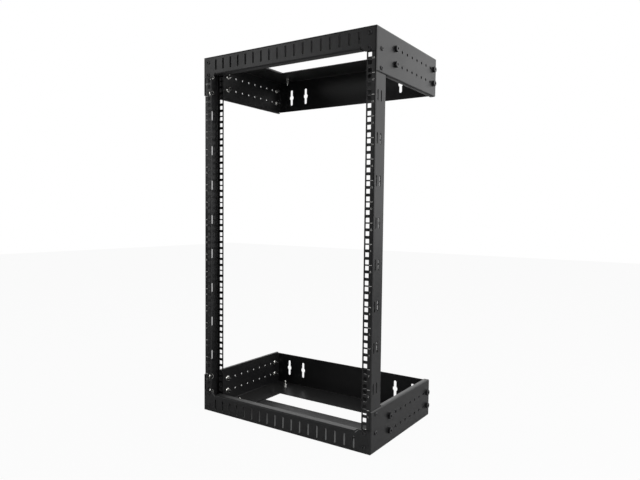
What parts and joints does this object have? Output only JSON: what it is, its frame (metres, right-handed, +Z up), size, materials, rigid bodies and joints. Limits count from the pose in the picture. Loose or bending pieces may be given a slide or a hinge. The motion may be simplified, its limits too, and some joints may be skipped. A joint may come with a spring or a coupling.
{
  "type": "two post open frame rack",
  "caption": "Wall-mountable open frame rack for 19 inch equipment: two square-hole posts between two sheet steel trays with keyhole wall brackets.",
  "frame": {"origin": "middle of the footprint, on the bottom tray's underside", "axes": "+X to the rack's right seen from the front, +Y back towards the wall, +Z up"},
  "size_m": [0.512, 0.3072, 0.9041],
  "materials": {
    "powder_black": "satin fine-textured powder coat",
    "screw_black": "black oxide",
    "zinc": "bright zinc plate"
  },
  "bodies": {
    "root": {"left_post": "powder_black", "right_post": "powder_black", "top_tray": "powder_black", "bottom_tray": "powder_black", "top_wall_bracket": "powder_black", "bottom_wall_bracket": "powder_black", "top_left_panel_screws": "screw_black", "top_right_panel_screws": "screw_black", "bottom_left_panel_screws": "screw_black", "bottom_right_panel_screws": "screw_black", "top_left_panel_nuts": "zinc", "top_right_panel_nuts": "zinc", "bottom_left_panel_nuts": "zinc", "bottom_right_panel_nuts": "zinc", "top_left_post_screws": "screw_black", "top_right_post_screws": "screw_black", "bottom_left_post_screws": "screw_black", "bottom_right_post_screws": "screw_black", "top_left_post_nuts": "zinc", "top_right_post_nuts": "zinc", "bottom_left_post_nuts": "zinc", "bottom_right_post_nuts": "zinc", "top_left_side_bolts": "screw_black", "top_right_side_bolts": "screw_black", "bottom_left_side_bolts": "screw_black", "bottom_right_side_bolts": "screw_black", "top_left_side_nuts": "zinc", "top_right_side_nuts": "zinc", "bottom_left_side_nuts": "zinc", "bottom_right_side_nuts": "zinc", "top_tray_studs": "zinc", "bottom_tray_studs": "zinc", "top_stud_nuts": "zinc", "bottom_stud_nuts": "zinc"}
  },
  "joints": []
}
